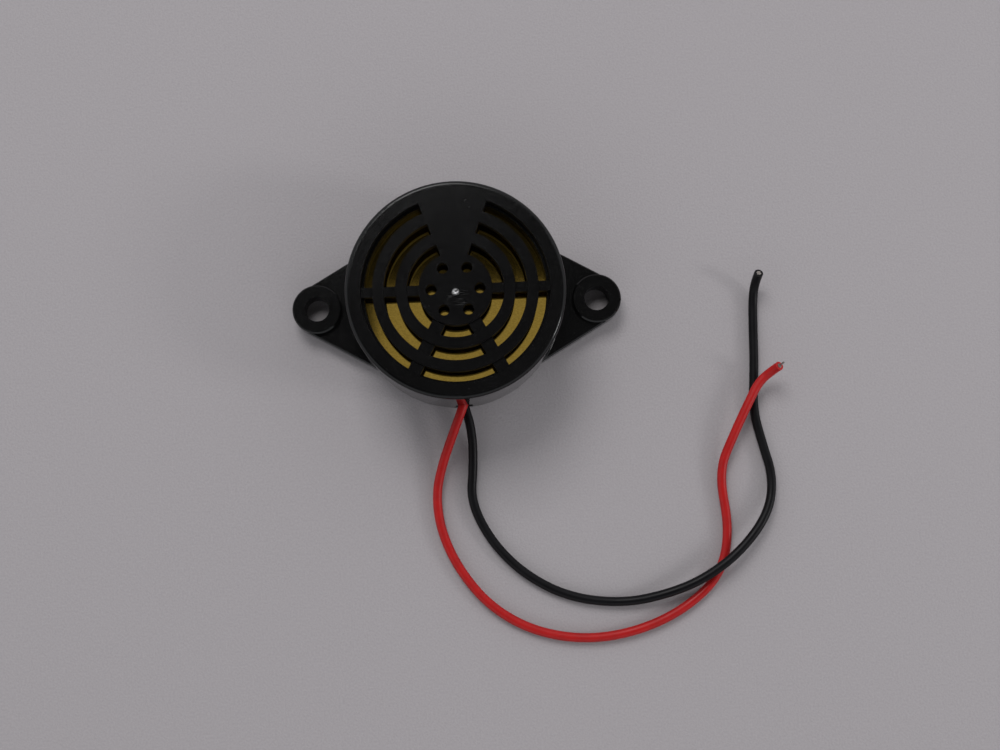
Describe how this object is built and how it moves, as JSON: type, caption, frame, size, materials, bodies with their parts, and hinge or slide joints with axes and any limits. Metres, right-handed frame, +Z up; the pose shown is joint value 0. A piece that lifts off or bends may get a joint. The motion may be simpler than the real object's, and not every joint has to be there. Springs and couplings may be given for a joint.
{
  "type": "electronic buzzer",
  "caption": "Round black piezo alarm buzzer with a slotted sound face, two screw ears and a red and a black lead with cut ends.",
  "frame": {"origin": "centre of the underside of the housing", "axes": "+Z up through the sound face, +X along the two screw ears, the leads leave at -Y"},
  "size_m": [0.0694, 0.0637, 0.0152],
  "materials": {
    "black_plastic": "moulded black plastic, fine texture on the face, glossy wall",
    "brass_disc": "rolled brass sheet, satin",
    "ceramic": "fired piezo ceramic, matte",
    "silver_film": "printed silver film, matte",
    "silicone": "cured silicone adhesive",
    "board": "paper phenolic board",
    "copper": "etched copper",
    "solder": "solder, bright",
    "ferrite": "ferrite, matte",
    "copper_wire": "enamelled copper wire",
    "sleeve": "shrink sleeve",
    "tinned_wire": "tinned copper wire",
    "mould_compound": "black moulding compound, matte",
    "resistor_body": "lacquered resistor body",
    "thin_wire_red": "plastic insulated wire",
    "thin_wire_blue": "plastic insulated wire",
    "thin_wire_black": "plastic insulated wire",
    "red_pvc": "red PVC insulation, soft gloss",
    "black_pvc": "black PVC insulation, soft gloss"
  },
  "bodies": {
    "root": {"back_cover": "black_plastic", "bias_resistor": "resistor_body", "black_bare_end": "tinned_wire", "black_cut_strands": "tinned_wire", "black_lead": "black_pvc", "board_solder": "solder", "circuit_board": "board", "coil_core": "ferrite", "coil_pins": "tinned_wire", "coil_sleeve": "sleeve", "coil_winding": "copper_wire", "copper_pads": "copper", "drive_electrode": "silver_film", "feedback_electrode": "silver_film", "housing": "black_plastic", "lead_seal": "silicone", "load_resistor": "resistor_body", "piezo_adhesive_ring": "silicone", "piezo_brass_plate": "brass_disc", "piezo_ceramic": "ceramic", "piezo_drive_wire": "thin_wire_red", "piezo_feedback_wire": "thin_wire_blue", "piezo_ground_wire": "thin_wire_black", "piezo_solder": "solder", "red_bare_end": "tinned_wire", "red_cut_strands": "tinned_wire", "red_lead": "red_pvc", "resistor_leads": "tinned_wire", "transistor": "mould_compound", "transistor_legs": "tinned_wire"}
  },
  "joints": []
}
